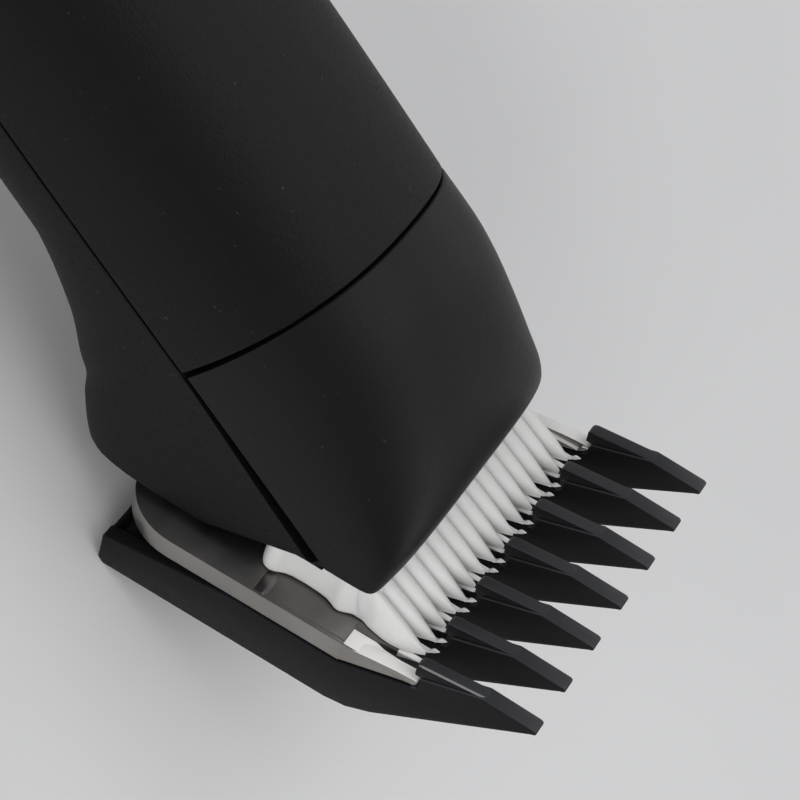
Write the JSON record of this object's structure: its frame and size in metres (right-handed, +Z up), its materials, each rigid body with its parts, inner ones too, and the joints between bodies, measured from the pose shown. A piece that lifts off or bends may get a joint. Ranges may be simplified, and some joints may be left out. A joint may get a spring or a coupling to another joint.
{
  "type": "hair clipper",
  "caption": "Cordless hair clipper with a hinged steel and ceramic blade set, a clip-on comb guard, a release latch and the motor drive inside its black shell.",
  "frame": {"origin": "middle of the footprint of its bounding box, on the table it lies on", "axes": "+X along the handle towards the blade teeth, +Z up out of the table, +Y to the left seen from the tail; it lies on the comb guard and the swell of its tail"},
  "size_m": [0.1906, 0.0484, 0.0529],
  "materials": {
    "shell_black": "fine leather-grain black moulding",
    "slider_grey": "ribbed satin grey moulding",
    "switch_white": "plain moulding",
    "lens_green": "clear tinted plastic",
    "jack_grey": "plain moulding",
    "nickel": "nickel plate",
    "board_green": "solder mask",
    "cradle_grey": "plain moulding",
    "cell_blue": null,
    "motor_zinc": "zinc plate",
    "end_bell_white": "plain moulding",
    "rotor_steel": "dark laminations",
    "bearing_steel": "ground steel",
    "lead_red": "insulation",
    "lead_black": "insulation",
    "chassis_zinc": "zinc plate",
    "lever_white": "acetal moulding",
    "zinc_screw": "zinc plate",
    "hinge_steel": "dark steel",
    "latch_black": "black moulding",
    "spring_steel": "spring steel",
    "blade_steel": "ground steel",
    "cutter_ceramic": "white ceramic",
    "yoke_white": "acetal moulding",
    "comb_charcoal": "satin charcoal moulding",
    "clip_bronze": "spring bronze"
  },
  "bodies": {
    "housing": {"upper_shell": "shell_black", "lower_shell": "shell_black", "front_cap": "shell_black", "tail_cap": "shell_black", "shell_screw_1": "zinc_screw", "shell_screw_2": "zinc_screw", "shell_screw_3": "zinc_screw", "shell_screw_4": "zinc_screw", "slide_switch": "switch_white", "indicator_lens": "lens_green", "charging_jack": "jack_grey", "jack_pin": "nickel", "circuit_board": "board_green", "battery_cradle": "cradle_grey", "battery_cell_left": "cell_blue", "battery_cell_right": "cell_blue", "battery_strip_front": "nickel", "battery_strip_rear": "nickel", "motor_can": "motor_zinc", "motor_end_bell": "end_bell_white", "motor_lead_red": "lead_red", "motor_lead_black": "lead_black", "chassis": "chassis_zinc", "lever_pin": "bearing_steel", "hinge_bracket": "hinge_steel", "hinge_pin": "bearing_steel", "hinge_screw_1": "zinc_screw", "hinge_screw_2": "zinc_screw", "latch_spring": "spring_steel"},
    "rotor": {"motor_rotor": "rotor_steel", "cam_bearing": "bearing_steel"},
    "lever": {"drive_lever": "lever_white"},
    "blade_set": {"hinge_tongue": "blade_steel", "blade_socket": "hinge_steel", "lower_blade": "blade_steel", "tension_spring": "spring_steel", "blade_screw_1": "hinge_steel", "blade_screw_2": "hinge_steel"},
    "cutter": {"cutter_blade": "cutter_ceramic", "cutter_yoke": "yoke_white"},
    "comb": {"comb_guard": "comb_charcoal", "comb_clip": "clip_bronze"},
    "switch": {"power_slider": "slider_grey"},
    "latch": {"release_latch": "latch_black"}
  },
  "joints": [
    {"name": "rotor_spin", "type": "hinge", "parent": "housing", "child": "rotor", "pos_m": [0.01953, 0, 0.0298], "axis": [0.9953, 0, 0.0968], "continuous": true},
    {"name": "lever_swing", "type": "hinge", "parent": "housing", "child": "lever", "pos_m": [0.04641, 0, 0.03241], "axis": [-0.0968, 0, 0.9953], "range_deg": [-3.8, 3.8]},
    {"name": "blade_hinge", "type": "hinge", "parent": "housing", "child": "blade_set", "pos_m": [0.05027, 0, 0.00584], "axis": [0, 1, 0], "range_deg": [0, 50]},
    {"name": "cutter_stroke", "type": "slide", "parent": "blade_set", "child": "cutter", "axis": [0, 1, 0], "range_m": [-0.00155, 0.00155]},
    {"name": "comb_pivot", "type": "hinge", "parent": "blade_set", "child": "comb", "pos_m": [0.08615, 0, 0.03849], "axis": [0, -1, 0], "range_deg": [0, 25]},
    {"name": "switch_slide", "type": "slide", "parent": "housing", "child": "switch", "axis": [0.9953, 0, 0.0968], "range_m": [0, 0.0045]},
    {"name": "latch_slide", "type": "slide", "parent": "housing", "child": "latch", "axis": [-0.7283, 0, -0.6852], "range_m": [0, 0.0016], "stiffness_N_per_m": 400, "springref_m": -0.001}
  ],
  "couplings": [
    {"joint": "cutter_stroke", "follows": "lever_swing", "m_per_rad": 0.02263}
  ]
}
